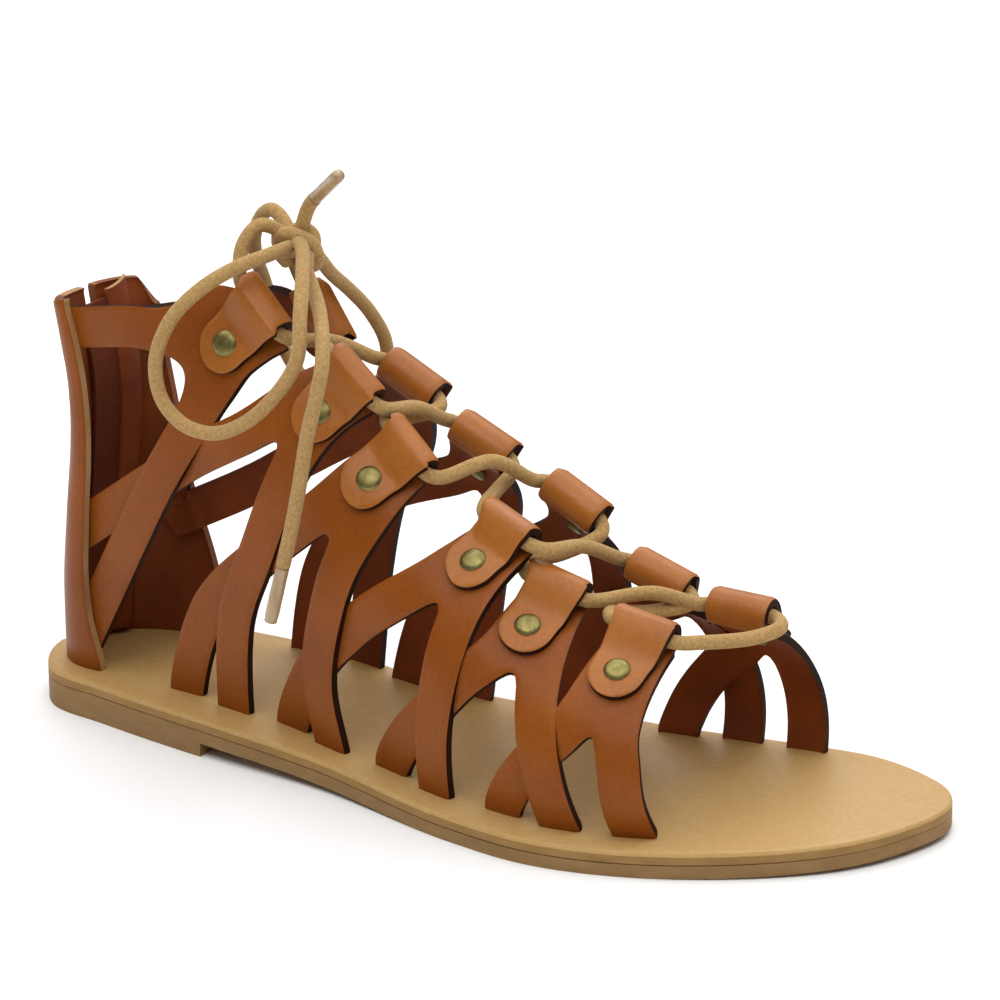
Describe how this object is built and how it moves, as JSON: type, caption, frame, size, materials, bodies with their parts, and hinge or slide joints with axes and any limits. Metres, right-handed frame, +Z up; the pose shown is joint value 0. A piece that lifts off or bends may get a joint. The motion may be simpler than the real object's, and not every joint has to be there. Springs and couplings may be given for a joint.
{
  "type": "gladiator sandal",
  "caption": "Flat leather sandal with a lattice of riveted straps, a cord laced through strap loops to a bow at the ankle, and a zip at the heel",
  "frame": {"origin": "on the ground, at the centre of the shoe's length and width", "axes": "+X to the toe, +Y to the inner (medial) side of the foot, +Z up"},
  "size_m": [0.25, 0.0876, 0.1523],
  "materials": {
    "leather": "smooth waxed brown leather",
    "insole": "natural tan leather",
    "outsole": "raw stacked leather edge",
    "cord": "woven cotton cord",
    "clear": "clear film lace tip",
    "brass": "antique brass",
    "zip": "woven zip tape"
  },
  "bodies": {
    "root": {"outsole": "outsole", "heel": "outsole", "insole": "insole", "upper_lateral": "leather", "upper_medial": "leather", "heel_counter": "leather", "zip_tape": "zip", "zip_slider": "brass", "rivet_lateral_1": "brass", "rivet_lateral_2": "brass", "rivet_lateral_3": "brass", "rivet_lateral_4": "brass", "rivet_lateral_5": "brass", "rivet_lateral_6": "brass", "rivet_medial_1": "brass", "rivet_medial_2": "brass", "rivet_medial_3": "brass", "rivet_medial_4": "brass", "rivet_medial_5": "brass", "rivet_medial_6": "brass", "lace_crossings": "cord", "lace_knot": "cord", "lace_loop_lateral": "cord", "lace_tail_front": "cord", "lace_tip_front": "clear", "lace_loop_medial": "cord", "lace_tail_top": "cord", "lace_tip_top": "clear"},
    "zip_pull": {"zip_pull": "brass"}
  },
  "joints": [
    {"name": "zip_pull_swing", "type": "hinge", "parent": "root", "child": "zip_pull", "pos_m": [-0.11791, 0.0058, 0.099], "axis": [0, 1, 0], "range_deg": [0, 170]}
  ]
}
